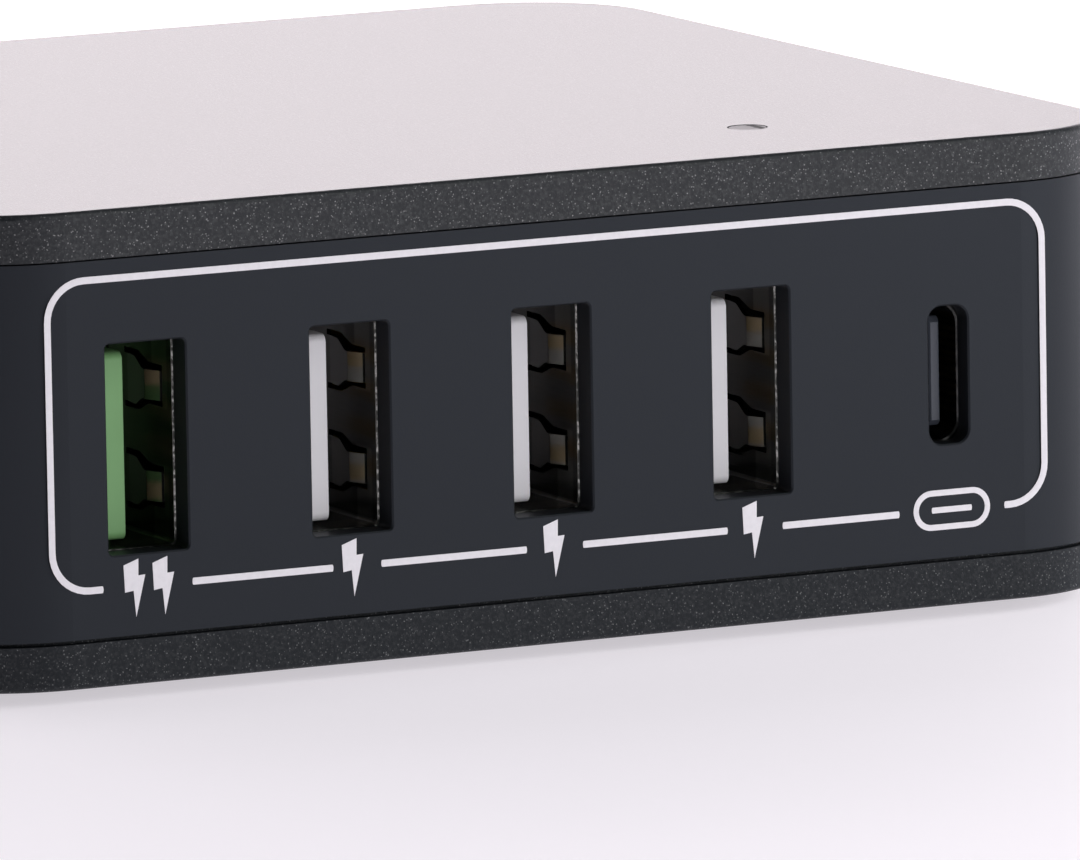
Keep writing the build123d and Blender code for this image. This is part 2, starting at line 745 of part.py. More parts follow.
def capacitor_can(diameter, height):
    """An upright can with a rolled bead near its foot and a bevelled top."""
    radius = diameter / 2
    with BuildPart() as can:
        with BuildSketch(Plane.XZ):
            with BuildLine():
                Polyline(
                    (0, 0),
                    (radius, 0),
                    (radius, capacitor_bead_level - capacitor_bead_depth),
                    (radius - capacitor_bead_depth, capacitor_bead_level),
                    (radius, capacitor_bead_level + capacitor_bead_depth),
                    (radius, height - capacitor_bevel),
                    (radius - capacitor_bevel, height),
                    (0, height),
                    close=True,
                )
            make_face()
        revolve(axis=Axis.Z)
    return can.part


bulk_x = heat_sink_outside + row_gap + bulk_capacitor_diameter / 2
bulk_spots = [
    (bulk_x, transformer_row - bulk_capacitor_pitch / 2, board_top),
    (bulk_x, transformer_row + bulk_capacitor_pitch / 2, board_top),
]
bulk_capacitor = capacitor_can(bulk_capacitor_diameter, bulk_capacitor_height)
save_copies(bulk_capacitor, "bulk_capacitor", bulk_spots)

output_x = -heat_sink_outside - row_gap - output_capacitor_diameter / 2
output_spots = [
    (
        output_x,
        transformer_row + (index - (output_capacitor_count - 1) / 2) * output_capacitor_pitch,
        board_top,
    )
    for index in range(output_capacitor_count)
]
output_capacitor = capacitor_can(output_capacitor_diameter, output_capacitor_height)
save_copies(output_capacitor, "output_capacitor", output_spots)

# Bridge rectifier and the disc capacitor across the barrier, in the row behind the transformer
rectifier_x = side_gap + rectifier_width / 2
with BuildPart() as bridge_rectifier:
    with BuildSketch(Plane.XZ.offset(-rectifier_row)):
        with Locations((rectifier_x, board_top + leg_length)):
            Rectangle(rectifier_width, rectifier_height, align=(Align.CENTER, Align.MIN))
    extrude(amount=rectifier_thickness / 2, both=True)
    marked_corner = bridge_rectifier.edges().filter_by(Axis.Y).group_by(Axis.Z)[-1].sort_by(Axis.X)[-1]
    chamfer(marked_corner, rectifier_bevel)
    with BuildSketch(board_plane):
        with Locations((rectifier_x, rectifier_row)):
            with GridLocations(rectifier_leg_pitch, 0, rectifier_leg_count, 1):
                Rectangle(leg_width, leg_thickness)
    extrude(amount=leg_length)
save(bridge_rectifier.part, "bridge_rectifier")

y_capacitor_x = -side_gap - y_capacitor_diameter / 2
y_capacitor_level = board_top + leg_length + y_capacitor_diameter / 2
with BuildPart() as y_capacitor:
    with BuildSketch(Plane.XZ.offset(-rectifier_row)):
        with Locations((y_capacitor_x, y_capacitor_level)):
            Circle(y_capacitor_diameter / 2)
    extrude(amount=y_capacitor_thickness / 2, both=True)
    chamfer(y_capacitor.edges().filter_by(GeomType.CIRCLE), y_capacitor_bevel)
    with BuildSketch(board_plane):
        with Locations((y_capacitor_x, rectifier_row)):
            with GridLocations(y_capacitor_leg_spread, 0, 2, 1):
                Rectangle(leg_width, leg_thickness)
    extrude(amount=y_capacitor_level - board_top)
save(y_capacitor.part, "y_capacitor")

# Mains filter beside the inlet: fuse and film capacitor on one side, choke on the other
x_capacitor_x = -inlet_width / 2 - inlet_ear_width - side_gap - x_capacitor_width / 2
x_capacitor_y = board_back - x_capacitor_depth / 2
with BuildPart() as x_capacitor:
    with BuildSketch(board_plane):
        with Locations((x_capacitor_x, x_capacitor_y)):
            Rectangle(x_capacitor_width, x_capacitor_depth)
    extrude(amount=x_capacitor_height)
    chamfer(x_capacitor.faces().sort_by(Axis.Z)[-1].edges(), x_capacitor_bevel)
save(x_capacitor.part, "x_capacitor")

fuse_y = x_capacitor_y - x_capacitor_depth / 2 - side_gap - fuse_diameter / 2
with BuildPart() as fuse:
    with BuildSketch(board_plane):
        with Locations((x_capacitor_x, fuse_y)):
            Circle(fuse_diameter / 2)
    extrude(amount=fuse_height)
    chamfer(fuse.edges().group_by(Axis.Z)[-1], fuse_bevel)
save(fuse.part, "fuse")

choke_reach = choke_outer_diameter / 2 + choke_clearance + choke_wire
choke_x = inlet_width / 2 + inlet_ear_width + side_gap + choke_reach
choke_y = board_back - choke_reach
choke_plane = Plane(origin=(choke_x, choke_y, board_top), x_dir=(1, 0, 0), z_dir=(0, -1, 0))
choke_axis = Axis((choke_x, choke_y, 0), (0, 0, 1))
choke_middle = choke_wire + choke_clearance + choke_core_height / 2
ring_width = (choke_outer_diameter - choke_inner_diameter) / 2
ring_middle = (choke_outer_diameter + choke_inner_diameter) / 4
with BuildPart() as choke_core:
    with BuildSketch(choke_plane):
        with Locations((ring_middle, choke_middle)):
            Rectangle(ring_width, choke_core_height)
    revolve(axis=choke_axis)
save(choke_core.part, "choke_core")

turn_width = ring_width + 2 * choke_clearance
turn_height = choke_core_height + 2 * choke_clearance
with BuildPart() as choke_windings:
    with BuildSketch(choke_plane):
        with Locations((-ring_middle, choke_middle), (ring_middle, choke_middle)):
            Rectangle(turn_width + 2 * choke_wire, turn_height + 2 * choke_wire)
            Rectangle(turn_width, turn_height, mode=Mode.SUBTRACT)
    revolve(axis=choke_axis, revolution_arc=choke_winding_angle)
save(choke_windings.part, "choke_windings")
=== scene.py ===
# %% [markdown]
# # A desktop charger with five ports
#
# The charger is a flat box with a grained top and bottom cover, a smooth band between them and a row of
# upright ports. Its solids come from the CAD model and stand here as a fixed frame: nothing in this lesson
# moves or resizes them. What Blender adds is the finish of every surface, the white print round the ports,
# the cross recesses of the screws, the springs in the ports and the studio. Everything is in metres, with
# the port side facing -Y.

# %% Load the frame
import json
import math

import bmesh
import bpy
from mathutils import Matrix, Vector


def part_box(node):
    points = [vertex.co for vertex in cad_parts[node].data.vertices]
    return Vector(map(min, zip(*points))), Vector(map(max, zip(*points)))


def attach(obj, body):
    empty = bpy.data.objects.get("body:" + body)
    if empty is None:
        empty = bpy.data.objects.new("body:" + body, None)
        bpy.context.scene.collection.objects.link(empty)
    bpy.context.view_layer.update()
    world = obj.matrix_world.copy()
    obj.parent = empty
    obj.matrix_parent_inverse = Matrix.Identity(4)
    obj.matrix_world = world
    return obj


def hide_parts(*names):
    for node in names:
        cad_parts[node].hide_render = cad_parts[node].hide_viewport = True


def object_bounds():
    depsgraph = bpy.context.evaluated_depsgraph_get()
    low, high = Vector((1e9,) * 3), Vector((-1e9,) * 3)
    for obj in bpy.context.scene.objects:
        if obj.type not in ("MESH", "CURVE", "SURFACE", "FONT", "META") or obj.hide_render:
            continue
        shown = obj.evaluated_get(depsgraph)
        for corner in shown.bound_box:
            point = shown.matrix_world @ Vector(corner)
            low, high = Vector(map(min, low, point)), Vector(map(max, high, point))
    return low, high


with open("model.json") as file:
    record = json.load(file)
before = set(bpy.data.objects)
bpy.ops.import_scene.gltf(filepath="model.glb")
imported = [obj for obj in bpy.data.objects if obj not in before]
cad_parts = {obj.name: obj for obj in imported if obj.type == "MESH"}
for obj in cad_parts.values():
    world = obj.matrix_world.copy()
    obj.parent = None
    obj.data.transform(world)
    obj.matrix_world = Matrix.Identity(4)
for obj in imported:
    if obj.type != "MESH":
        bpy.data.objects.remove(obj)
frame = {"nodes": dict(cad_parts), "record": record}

cad_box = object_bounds()
mm = 0.001
case_sides = [round(side / mm, 1) for side in cad_box[1] - cad_box[0]]
print("loaded", len(frame["nodes"]), "solids in a box of", case_sides, "mm")

# %% [markdown]
# ## Where the print goes
#
# Print on a moulded band follows the band. Its places could be typed in as numbers, but then a change of
# the case would leave the print behind. So they are read from the solids: the front face from the band's
# box, and one middle for each port from its shell's box.

# %% Measure the port side
front_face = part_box("middle_frame")[0].y


def middle_of(node):
    """The middle of a solid's box."""
    low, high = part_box(node)
    return (low + high) / 2


shells = sorted(name for name in frame["nodes"] if name.startswith("usb_a_shell")) + ["usb_c_shell"]
port_middles = [middle_of(name) for name in shells]
port_level = port_middles[0].z
print("ports at x =", [round(middle.x / mm, 2) for middle in port_middles])

# %% [markdown]
# ## A small language for shaders
#
# A material is a network of nodes, and a long list of `nodes.new` calls is hard to read. `Wire` stands for
# one value in that network, so that `1 - mask` or `grain * 0.4 + 0.3` adds the Math nodes by itself.


# %% Wire
class Wire:
    """One value of a shader network, with Python's operators as Math nodes."""

    def __init__(self, finish, socket):
        self.finish = finish
        self.socket = socket

    def also(self, output):
        """Another output of the node that gives this value."""
        return Wire(self.finish, self.socket.node.outputs[output])

    def math(self, operation, first, second):
        return self.finish.node("ShaderNodeMath", {"operation": operation}, {0: first, 1: second})

    def __add__(self, other):
        return self.math("ADD", self, other)

    def __sub__(self, other):
        return self.math("SUBTRACT", self, other)

    def __rsub__(self, other):
        return self.math("SUBTRACT", other, self)

    def __mul__(self, other):
        return self.math("MULTIPLY", self, other)

    __radd__ = __add__
    __rmul__ = __mul__


print("wires can be added, subtracted and multiplied")

# %% [markdown]
# ## One material as one object
#
# `Finish` is one material. It sets the constants on the shader's own sockets and adds every other node
# through one method, `node`. The methods after it are short names for what nearly every finish needs: a
# coordinate, a noise, a soft step, a blend of two colours, and the links to the shader at the end.


# %% Finish
class Finish:
    """One material: a Principled shader, its constants and the nodes that vary it."""

    def __init__(self, name, constants):
        self.material = bpy.data.materials.new(name)
        self.material.use_nodes = True
        self.tree = self.material.node_tree
        self.shader = self.tree.nodes["Principled BSDF"]
        for socket, value in constants.items():
            self.shader.inputs[socket].default_value = value
        self.place = self.node("ShaderNodeTexCoord", output="Object")

    def node(self, kind, settings=None, inputs=None, output=0):
        """Adds a node of that type, sets it up and returns one of its outputs."""
        made = self.tree.nodes.new(kind)
        for name, value in (settings or {}).items():
            setattr(made, name, value)
        for socket, value in (inputs or {}).items():
            self.feed(made.inputs[socket], value)
        return Wire(self, made.outputs[output])

    def feed(self, socket, value):
        """Links a wire to a socket, or sets the socket to a plain value."""
        if isinstance(value, Wire):
            self.tree.links.new(value.socket, socket)
        else:
            socket.default_value = value

    def along(self, axis):
        """The coordinate along X, Y or Z."""
        return self.node("ShaderNodeSeparateXYZ", {}, {0: self.place}, output=axis)

    def noise(self, size, detail=2.0, stretch=(1, 1, 1)):
        """Cloudy noise with features of about that size, drawn out along an axis by a small stretch."""
        place = self.node("ShaderNodeVectorMath", {"operation": "MULTIPLY"}, {0: self.place, 1: stretch})
        return self.node("ShaderNodeTexNoise", {}, {"Vector": place, "Scale": 1 / size, "Detail": detail})

    def soft_step(self, value, low, high):
        """0 below low, 1 above high and a smooth climb between them."""
        return self.node(
            "ShaderNodeMapRange", {"interpolation_type": "SMOOTHSTEP"}, {0: value, 1: low, 2: high}
        )

    def blend(self, factor, first, second):
        """A colour between two colours."""
        return self.node("ShaderNodeMix", {"data_type": "RGBA"}, {0: factor, 6: first, 7: second}, output=2)

    def dress(self, colour, roughness, height, depth):
        """Feeds the varying colour, roughness and bump into the shader."""
        bump = self.node("ShaderNodeBump", {}, {"Height": height, "Distance": depth})
        self.feed(self.shader.inputs["Base Color"], colour)
        self.feed(self.shader.inputs["Roughness"], roughness)
        self.feed(self.shader.inputs["Normal"], bump)
        return self.material


print("finishes can be mixed")

# %% [markdown]
# ## The grained covers
#
# The covers are dark plastic with a fine spark-eroded grain: the mould was roughened, so the surface is a
# field of tiny bumps, and a bump that happens to face the light glints. Real displacement at a tenth of a
# millimetre would need millions of faces, so the grain is a Bump node. Here the glints are painted
# highlights: pale dots in the colour, with a little more bump and less roughness under them, at the middles
# of the cells of a cell texture, and a White Noise node draws each cell's chance to show. The cell's own
# colour can't be that chance, because it depends on where the cell's point lies, and on a flat face the wrong
# cells would show. The coordinates are rippled by the grain first, so that the glints aren't round. The
# flat top is smoother, with fewer painted glints.


# %% Grained plastic
def grained_plastic(name, gloss, dark, grain_and_painted_glint):
    """Dark plastic with a rough moulded grain on its sides, finer on its flat top, and scattered painted
    glints.
    """
    grain_size = 0.2 * mm
    ripple_size = 0.15 * mm
    cell_size = 0.16 * mm
    bump_depth = 0.025 * mm
    top_level = cad_box[1].z
    finish = Finish(name, {"Specular IOR Level": gloss})
    flat_top = finish.soft_step(finish.along("Z"), top_level - 0.3 * mm, top_level - 0.02 * mm)
    side = 1 - flat_top * 0.75
    grain = finish.noise(grain_size, detail=3.0)
    rippled = finish.node(
        "ShaderNodeVectorMath",
        {"operation": "MULTIPLY_ADD"},
        {0: grain.also("Color"), 1: [ripple_size] * 3, 2: finish.place},
    )
    off_middle = finish.node(
        "ShaderNodeTexVoronoi", {}, {"Vector": rippled, "Scale": 1 / cell_size}, output="Distance"
    )
    chance = finish.node(
        "ShaderNodeTexWhiteNoise", {"noise_dimensions": "3D"}, {"Vector": off_middle.also("Color")}
    )
    # Painted highlights: pale dots put into the colour at cell middles, fewer on the flat top.
    painted_glint = finish.soft_step(chance, 0.4, 1.05) * (1 - finish.soft_step(off_middle, 0.1, 0.4)) * side
    pale = finish.soft_step(grain, 0.42, 0.75) * side * 0.1 + painted_glint * 0.9
    colour = finish.blend(pale, (*dark, 1), (*grain_and_painted_glint, 1))
    return finish.dress(colour, 0.44 - painted_glint * 0.1, grain + painted_glint * 0.5, bump_depth)


upper_grain = grained_plastic("grained_plastic", 0.44, (0.0095, 0.012, 0.015), (0.27, 0.27, 0.275))
# The lower cover's copy is darker and less glossy: painted shade on the same plastic as the top cover.
shaded_lower_grain = grained_plastic("grained_plastic_lower_painted_shade", 0.31, (0.005, 0.0075, 0.0105), (0.16, 0.165, 0.17))
print("mixed", upper_grain.name, "and", shaded_lower_grain.name)

# %% [markdown]
# ## The satin band
#
# The band between the covers comes from a polished part of the mould. It is nearly black and mirrors the
# pale table softly, with a cool gloss. A blue base colour would make it navy wherever the light falls
# straight on, so the base stays nearly neutral and the tint sits on the gloss alone. Two noises keep it
# from looking computed: a slow one that shifts the gloss, as handling does, and a very fine one for the
# last tool marks.


# %% Satin plastic
def satin_plastic():
    """Nearly black plastic with a soft, cool gloss."""
    finish = Finish("satin_plastic", {"Specular IOR Level": 0.345, "Specular Tint": (0.78, 0.86, 1.0, 1)})
    handling = finish.noise(14 * mm, detail=4.0)
    tooling = finish.noise(0.12 * mm, detail=2.0)
    colour = finish.blend(handling, (0.0113, 0.0128, 0.0152, 1), (0.0127, 0.0144, 0.0171, 1))
    return finish.dress(colour, 0.36 + handling * 0.06 + tooling * 0.04, tooling, 0.004 * mm)


satin = satin_plastic()
print("mixed", satin.name)

# %% [markdown]
# ## Plain mouldings and plain metals
#
# Most other pieces are either moulded plastic or metal, and differ in colour, gloss and the size of their
# grain. A material written out for each would repeat the same lines, so two functions cover them. Each
# still varies over the surface: plastic gets flow marks and a fine skin, metal gets drawing lines along one
# axis, made by stretching the noise.


# %% Moulded and drawn finishes
def moulded(name, dark, pale, roughness, grain, depth):
    """Plastic, rubber or ceramic: two close colours, a gloss and a grain of that size and depth."""
    finish = Finish(name, {})
    flow = finish.noise(4 * mm, detail=3.0)
    skin = finish.noise(grain)
    colour = finish.blend(flow * 0.7 + skin * 0.3, (*dark, 1), (*pale, 1))
    return finish.dress(colour, roughness + (skin - 0.5) * 0.12, skin, depth)


line_size = 0.15 * mm


def drawn(name, dark, pale, roughness, stretch):
    """Metal with drawing lines: the stretch is small along the lines."""
    finish = Finish(name, {"Metallic": 1.0})
    lines = finish.noise(line_size, detail=3.0, stretch=stretch)
    tarnish = finish.soft_step(finish.noise(0.9 * mm, detail=4.0), 0.3, 0.7)
    colour = finish.blend(tarnish * 0.6 + lines * 0.4, (*dark, 1), (*pale, 1))
    return finish.dress(colour, roughness + (lines - 0.5) * 0.25, lines, 0.004 * mm)


print("mouldings and metals can be mixed")

# %% [markdown]
# ## The plated shells
#
# The shells of the ports are stamped from plated steel. Inside they are dark, because they mirror each
# other. Only the sheared edge round the mouth is bright, in spots: partly wear where plugs have worn it,
# partly a painted highlight along the edge, and the pads of the spring fingers a little behind it are
# polished. Painting those places by hand would need a map, so the depth behind the mouth and the distance
# from the port's middle decide what shows.


# %% Plated shell
def plated_shell(mouth):
    """Plated steel with drawing lines, dark inside, its mouth bright in spots: wear and a painted highlight.
    """
    finish = Finish("shell_steel", {"Metallic": 1.0})
    depth = finish.along("Y") - mouth
    off_middle = finish.node("ShaderNodeMath", {"operation": "ABSOLUTE"}, {0: finish.along("Z") - port_level})
    edge = 1 - finish.soft_step(depth, 0.05 * mm, 0.16 * mm)
    lines = finish.noise(line_size, detail=3.0, stretch=(1, 0.06, 1))
    # Bright spots on the mouth's edge: partly wear, partly a painted highlight.
    wear_and_highlight = finish.soft_step(finish.noise(0.25 * mm, detail=4.0), 0.44, 0.66)
    pads = finish.soft_step(depth, 0.6 * mm, 0.9 * mm) * (1 - finish.soft_step(depth, 2.7 * mm, 2.9 * mm))
    pads = pads * finish.soft_step(off_middle, 1.6 * mm, 1.9 * mm)
    plate = (1 - edge) * (0.38 + lines * 0.2 + pads * 0.6)
    colour = finish.blend(plate + edge * wear_and_highlight * 0.9, (0.045, 0.047, 0.043, 1), (0.42, 0.425, 0.40, 1))
    return finish.dress(colour, 0.17 + lines * 0.1, lines, 0.003 * mm)


shell_steel = plated_shell(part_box("usb_a_shell_1")[0].y)
print("mixed", shell_steel.name)

# %% [markdown]
# ## The gilt contacts
#
# The contacts are gilt, but the film is thin and dull, so half of the light they throw back is scattered.
# That is why `Metallic` stays below one: the scattered part is what shows as a warm patch in the polished
# pads opposite.


# %% Gilt
def gilt():
    """Dull gold plate with fine drawing lines."""
    finish = Finish("contact_metal", {"Metallic": 0.5})
    lines = finish.noise(line_size, detail=3.0, stretch=(1, 0.08, 1))
    colour = finish.blend(lines, (0.82, 0.60, 0.36, 1), (0.97, 0.76, 0.50, 1))
    return finish.dress(colour, 0.4 + lines * 0.15, lines, 0.004 * mm)


contact_metal = gilt()
print("mixed", contact_metal.name)

# %% [markdown]
# ## The end of the light pipe
#
# A clear pipe carries the status light up to the top, and its end lies flush there. It is nearly as matt as
# the top, so at a low angle it mirrors the same backdrop. Near the rim a dark spot is painted in: painted
# shade that stands for the dark inside of the pipe, seen through the clear end. A dark colour alone would
# still mirror the backdrop there, so a Mix Shader swaps the gloss for a dark matt shader.


# %% Light pipe
def light_pipe_finish(middle):
    """Smoky clear plastic with a painted dark spot beside the middle of the pipe: painted shade."""
    finish = Finish("light_pipe", {"Specular IOR Level": 0.3})
    haze = finish.noise(0.3 * mm)
    across = finish.along("X") - middle.x
    # A dark spot beside the middle: painted shade for the dark inside seen through the clear end.
    painted_dark_spot = finish.soft_step(across + (haze - 0.5) * (0.3 * mm), 0.2 * mm, 0.5 * mm)
    painted_dark_spot = painted_dark_spot * (1 - finish.soft_step(across, 0.75 * mm, 1.0 * mm)) * 0.75
    glossy = Wire(finish, finish.shader.outputs["BSDF"])
    matt = finish.node("ShaderNodeBsdfDiffuse", {}, {"Color": (0.02, 0.02, 0.022, 1)})
    both = finish.node("ShaderNodeMixShader", {}, {0: painted_dark_spot, 1: glossy, 2: matt})
    finish.feed(finish.tree.nodes["Material Output"].inputs["Surface"], both)
    colour = finish.blend(haze, (0.05, 0.05, 0.055, 1), (0.09, 0.09, 0.095, 1))
    return finish.dress(colour, 0.5 + haze * 0.08, haze, 0.02 * mm)


light_pipe = light_pipe_finish(middle_of("led_lens"))
print("mixed", light_pipe.name)

# %% [markdown]
# ## The colours of the other pieces
#
# What is left are tongues, boards, wound parts and metal inside the case. Each is one line: a dark and a
# pale colour, a roughness, and then the grain's size and depth for a moulding or the stretch of the lines
# for a metal. Named lines like these are easier to compare and to change than one function for each.

# %% Mix the other finishes
mouldings = {
    "foot_rubber": ((0.012, 0.012, 0.013), (0.03, 0.03, 0.032), 0.78, 0.2 * mm, 0.02 * mm),
    "green_tongue": ((0.19, 0.40, 0.16), (0.23, 0.46, 0.195), 0.42, 0.1 * mm, 0.004 * mm),
    "white_tongue": ((0.765, 0.755, 0.785), (0.825, 0.815, 0.845), 0.42, 0.1 * mm, 0.004 * mm),
    "black_tongue": ((0.062, 0.07, 0.09), (0.082, 0.092, 0.115), 0.4, 0.1 * mm, 0.004 * mm),
    "circuit_board": ((0.01, 0.06, 0.03), (0.02, 0.10, 0.05), 0.4, 0.5 * mm, 0.01 * mm),
    "insulation": ((0.55, 0.52, 0.42), (0.66, 0.63, 0.52), 0.6, 0.3 * mm, 0.01 * mm),
    "led_body": ((0.70, 0.70, 0.66), (0.82, 0.82, 0.78), 0.4, 0.2 * mm, 0.004 * mm),
    "black_epoxy": ((0.010, 0.010, 0.011), (0.025, 0.025, 0.027), 0.5, 0.1 * mm, 0.01 * mm),
    "ferrite": ((0.020, 0.020, 0.022), (0.045, 0.044, 0.046), 0.65, 0.25 * mm, 0.02 * mm),
    "inlet_plastic": ((0.006, 0.006, 0.007), (0.014, 0.014, 0.016), 0.5, 0.15 * mm, 0.01 * mm),
    "fuse_plastic": ((0.010, 0.010, 0.012), (0.022, 0.022, 0.026), 0.45, 0.2 * mm, 0.01 * mm),
    "film_capacitor": ((0.55, 0.36, 0.03), (0.66, 0.45, 0.05), 0.42, 0.3 * mm, 0.01 * mm),
    "capacitor_sleeve": ((0.01, 0.012, 0.03), (0.02, 0.024, 0.05), 0.35, 0.3 * mm, 0.004 * mm),
    "bobbin_plastic": ((0.02, 0.02, 0.02), (0.035, 0.035, 0.035), 0.5, 0.2 * mm, 0.01 * mm),
    "winding_tape": ((0.60, 0.42, 0.06), (0.70, 0.52, 0.09), 0.35, 0.4 * mm, 0.01 * mm),
    "disc_ceramic": ((0.02, 0.09, 0.30), (0.04, 0.13, 0.38), 0.4, 0.3 * mm, 0.01 * mm),
}
metals = {
    "screw_steel": ((0.30, 0.30, 0.31), (0.52, 0.52, 0.53), 0.32, (1, 1, 0.2)),
    "pin_metal": ((0.52, 0.47, 0.40), (0.70, 0.66, 0.58), 0.24, (1, 0.06, 1)),
    "copper_wire": ((0.50, 0.20, 0.07), (0.72, 0.34, 0.14), 0.3, (0.2, 0.2, 1)),
    "heat_sink_metal": ((0.55, 0.56, 0.57), (0.74, 0.75, 0.76), 0.35, (1, 1, 0.06)),
    # A darker copy of the shell metal, for the small port only: painted shade in its deep mouth.
    "shaded_shell_metal": ((0.02, 0.021, 0.022), (0.13, 0.13, 0.125), 0.22, (1, 0.06, 1)),
}
finishes = {name: moulded(name, *values) for name, values in mouldings.items()}
finishes.update({name: drawn(name, *values) for name, values in metals.items()})
finishes["grained_plastic"] = upper_grain
finishes["satin_plastic"] = satin
finishes["shell_steel"] = shell_steel
finishes["contact_metal"] = contact_metal
finishes["light_pipe"] = light_pipe
print("mixed", len(finishes), "finishes")

# %% [markdown]
# ## A finish for every solid
#
# The record names one material slot for each solid, and the finishes have the same names. So a loop gives
# each solid its finish, through the solid's own material slots, and no solid keeps the plain colour it came
# with. Two solids differ from others of their slot, both by painted shade: the lower cover gets a darker,
# less glossy copy of the grained finish, and the small shell a darker metal for its deep port.

# %% Dress the solids
# Both overrides are darker copies of a finish: painted shade.
own_finish = {"bottom_cover": shaded_lower_grain, "usb_c_shell": finishes["shaded_shell_metal"]}
slot_of_node = {sub["node"]: sub["material_slot"] for sub in frame["record"]["subparts"]}
for name, solid in frame["nodes"].items():
    for slot in solid.material_slots:
        slot.material = own_finish.get(name, finishes[slot_of_node[name]])
print("dressed", len(slot_of_node), "solids in", len(set(slot_of_node.values())), "material slots")

# %% [markdown]
# ## Pieces made by Geometry Nodes
#
# A Geometry Nodes tree is a recipe with named inputs. Four small helpers keep its Python short: one starts
# a tree with its inputs, one adds a node, one ends a tree, and one runs a tree on an object and keeps the
# result as a plain mesh, because a finished piece carries no live modifier.


# %% Helpers for node trees
def tree_with(name, inputs):
    """A new tree with a geometry input and output and the named inputs, given as name and socket type."""
    tree = bpy.data.node_groups.new(name, "GeometryNodeTree")
    tree.interface.new_socket("Geometry", in_out="INPUT", socket_type="NodeSocketGeometry")
    for label, kind in inputs.items():
        tree.interface.new_socket(label, in_out="INPUT", socket_type=kind)
    tree.interface.new_socket("Geometry", in_out="OUTPUT", socket_type="NodeSocketGeometry")
    return tree, tree.nodes.new("NodeGroupInput"), tree.nodes.new("NodeGroupOutput")


def add_node(tree, kind, settings=None, inputs=None):
    """Adds a node, sets it up and links or sets its inputs."""
    made = tree.nodes.new(kind)
    for name, value in (settings or {}).items():
        setattr(made, name, value)
    for socket, value in (inputs or {}).items():
        if isinstance(value, bpy.types.NodeSocket):
            tree.links.new(value, made.inputs[socket])
        else:
            made.inputs[socket].default_value = value
    return made


def finish_tree(tree, shape, material, group_output):
    """Ends a tree with real geometry that carries the material."""
    real = add_node(tree, "GeometryNodeRealizeInstances", {}, {"Geometry": shape})
    dressed = add_node(
        tree, "GeometryNodeSetMaterial", {}, {"Geometry": real.outputs["Geometry"], "Material": material}
    )
    tree.links.new(dressed.outputs["Geometry"], group_output.inputs["Geometry"])
    print(tree.name, "is a recipe of", len(tree.nodes), "nodes")


def grow(name, source, tree, values):
    """Runs a tree on an object's data and keeps the result as a plain mesh piece at the origin."""
    seed = bpy.data.objects.new(name + "_seed", source)
    bpy.context.scene.collection.objects.link(seed)
    modifier = seed.modifiers.new("recipe", "NODES")
    modifier.node_group = tree
    for item in tree.interface.items_tree:
        if item.in_out == "INPUT" and item.name in values:
            modifier[item.identifier] = values[item.name]
    evaluated = seed.evaluated_get(bpy.context.evaluated_depsgraph_get())
    mesh = bpy.data.meshes.new_from_object(evaluated)
    bpy.data.objects.remove(seed)
    piece = bpy.data.objects.new(name, mesh)
    bpy.context.scene.collection.objects.link(piece)
    low = [round(min(vertex.co[axis] for vertex in mesh.vertices) / mm, 2) for axis in range(3)]
    high = [round(max(vertex.co[axis] for vertex in mesh.vertices) / mm, 2) for axis in range(3)]
    print(name, "has", len(mesh.polygons), "faces, from", low, "to", high, "mm")
    return piece


print("trees can be grown")

# %% [markdown]
# ## The ink
#
# The signs are pad-printed in white ink. An even white would look like paper, so a noise lets the ink cover
# a little more here and less there, and gives it a faint orange-peel skin.


# %% White ink
def white_ink():
    """Slightly uneven white ink with a faint orange-peel skin."""
    finish = Finish("white_ink", {})
    coverage = finish.noise(0.35 * mm, detail=3.0)
    colour = finish.blend(coverage, (0.72, 0.70, 0.74, 1), (0.84, 0.82, 0.86, 1))
    return finish.dress(colour, 0.55 + coverage * 0.1, coverage, 0.006 * mm)


ink = white_ink()
print("mixed", ink.name)

# %% [markdown]
# ## A printed stroke
#
# A printed line is a film of ink of one width. It could be modelled face by face, but it follows a path, so
# a tree makes it: Fillet Curve rounds the corners of a few straight strokes, and Curve to Mesh gives them
# their width and the thickness of the film.

# %% The recipe of a printed stroke
corner_steps = 10
stroke_tree, stroke_in, stroke_out = tree_with(
    "printed_stroke",
    {
        "Corner Radius": "NodeSocketFloat",
        "Line Width": "NodeSocketFloat",
        "Film": "NodeSocketFloat",
        "Face": "NodeSocketVector",
        "Material": "NodeSocketMaterial",
    },
)
rounded = add_node(
    stroke_tree,
    "GeometryNodeFilletCurve",
    {"mode": "POLY"},
    {
        "Curve": stroke_in.outputs["Geometry"],
        "Radius": stroke_in.outputs["Corner Radius"],
        "Count": corner_steps,
        "Limit Radius": True,
    },
)
upright = add_node(
    stroke_tree, "GeometryNodeSetCurveNormal", {"mode": "Z_UP"}, {"Curve": rounded.outputs["Curve"]}
)
section = add_node(
    stroke_tree,
    "GeometryNodeCurvePrimitiveQuadrilateral",
    {},
    {"Width": stroke_in.outputs["Line Width"], "Height": stroke_in.outputs["Film"]},
)
swept = add_node(
    stroke_tree,
    "GeometryNodeCurveToMesh",
    {},
    {"Curve": upright.outputs["Curve"], "Profile Curve": section.outputs["Curve"], "Fill Caps": True},
)
print("a stroke has its width")

# %% [markdown]
# ## The ends of a stroke
#
# Ink draws back a little at the corners of a line's end, so the ends are nearly square with soft corners. A
# thin disc on each end point gives that, squeezed along the line by its instance's scale. It is a little
# thinner than the film, so that no two faces lie in one plane. The strokes are drawn flat, in X and Y, and
# the last step stands them up on the front face.

